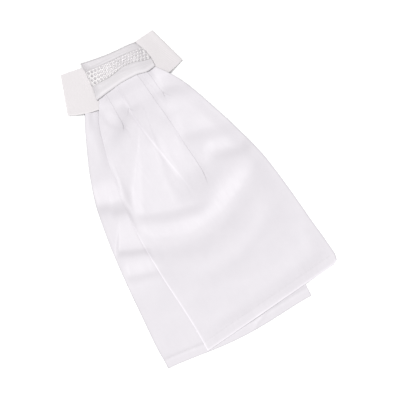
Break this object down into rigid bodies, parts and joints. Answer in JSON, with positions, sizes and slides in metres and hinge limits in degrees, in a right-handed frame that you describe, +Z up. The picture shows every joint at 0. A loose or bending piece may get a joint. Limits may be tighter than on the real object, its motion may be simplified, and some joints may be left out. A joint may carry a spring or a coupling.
{
  "type": "ready-tied stock cravat",
  "caption": "Ready-tied stock cravat laid flat: curved neckband folded behind a pleated knot with a crystal strip, and wide hemmed satin tails.",
  "frame": {"origin": "middle of the cravat's footprint, on the surface it lies on", "axes": "+Z up from the surface, +Y from the tails' hems towards the neckband, +X to the right as seen from above"},
  "size_m": [0.2013, 0.3166, 0.0159],
  "materials": {
    "cotton": "matt woven cotton",
    "satin": "satin sheen",
    "crystal": "clear cut stones in a bright mesh"
  },
  "bodies": {
    "root": {"neckband": "cotton", "back_tail": "satin", "front_tail": "satin", "knot": "satin", "crystal_trim": "crystal"}
  },
  "joints": []
}
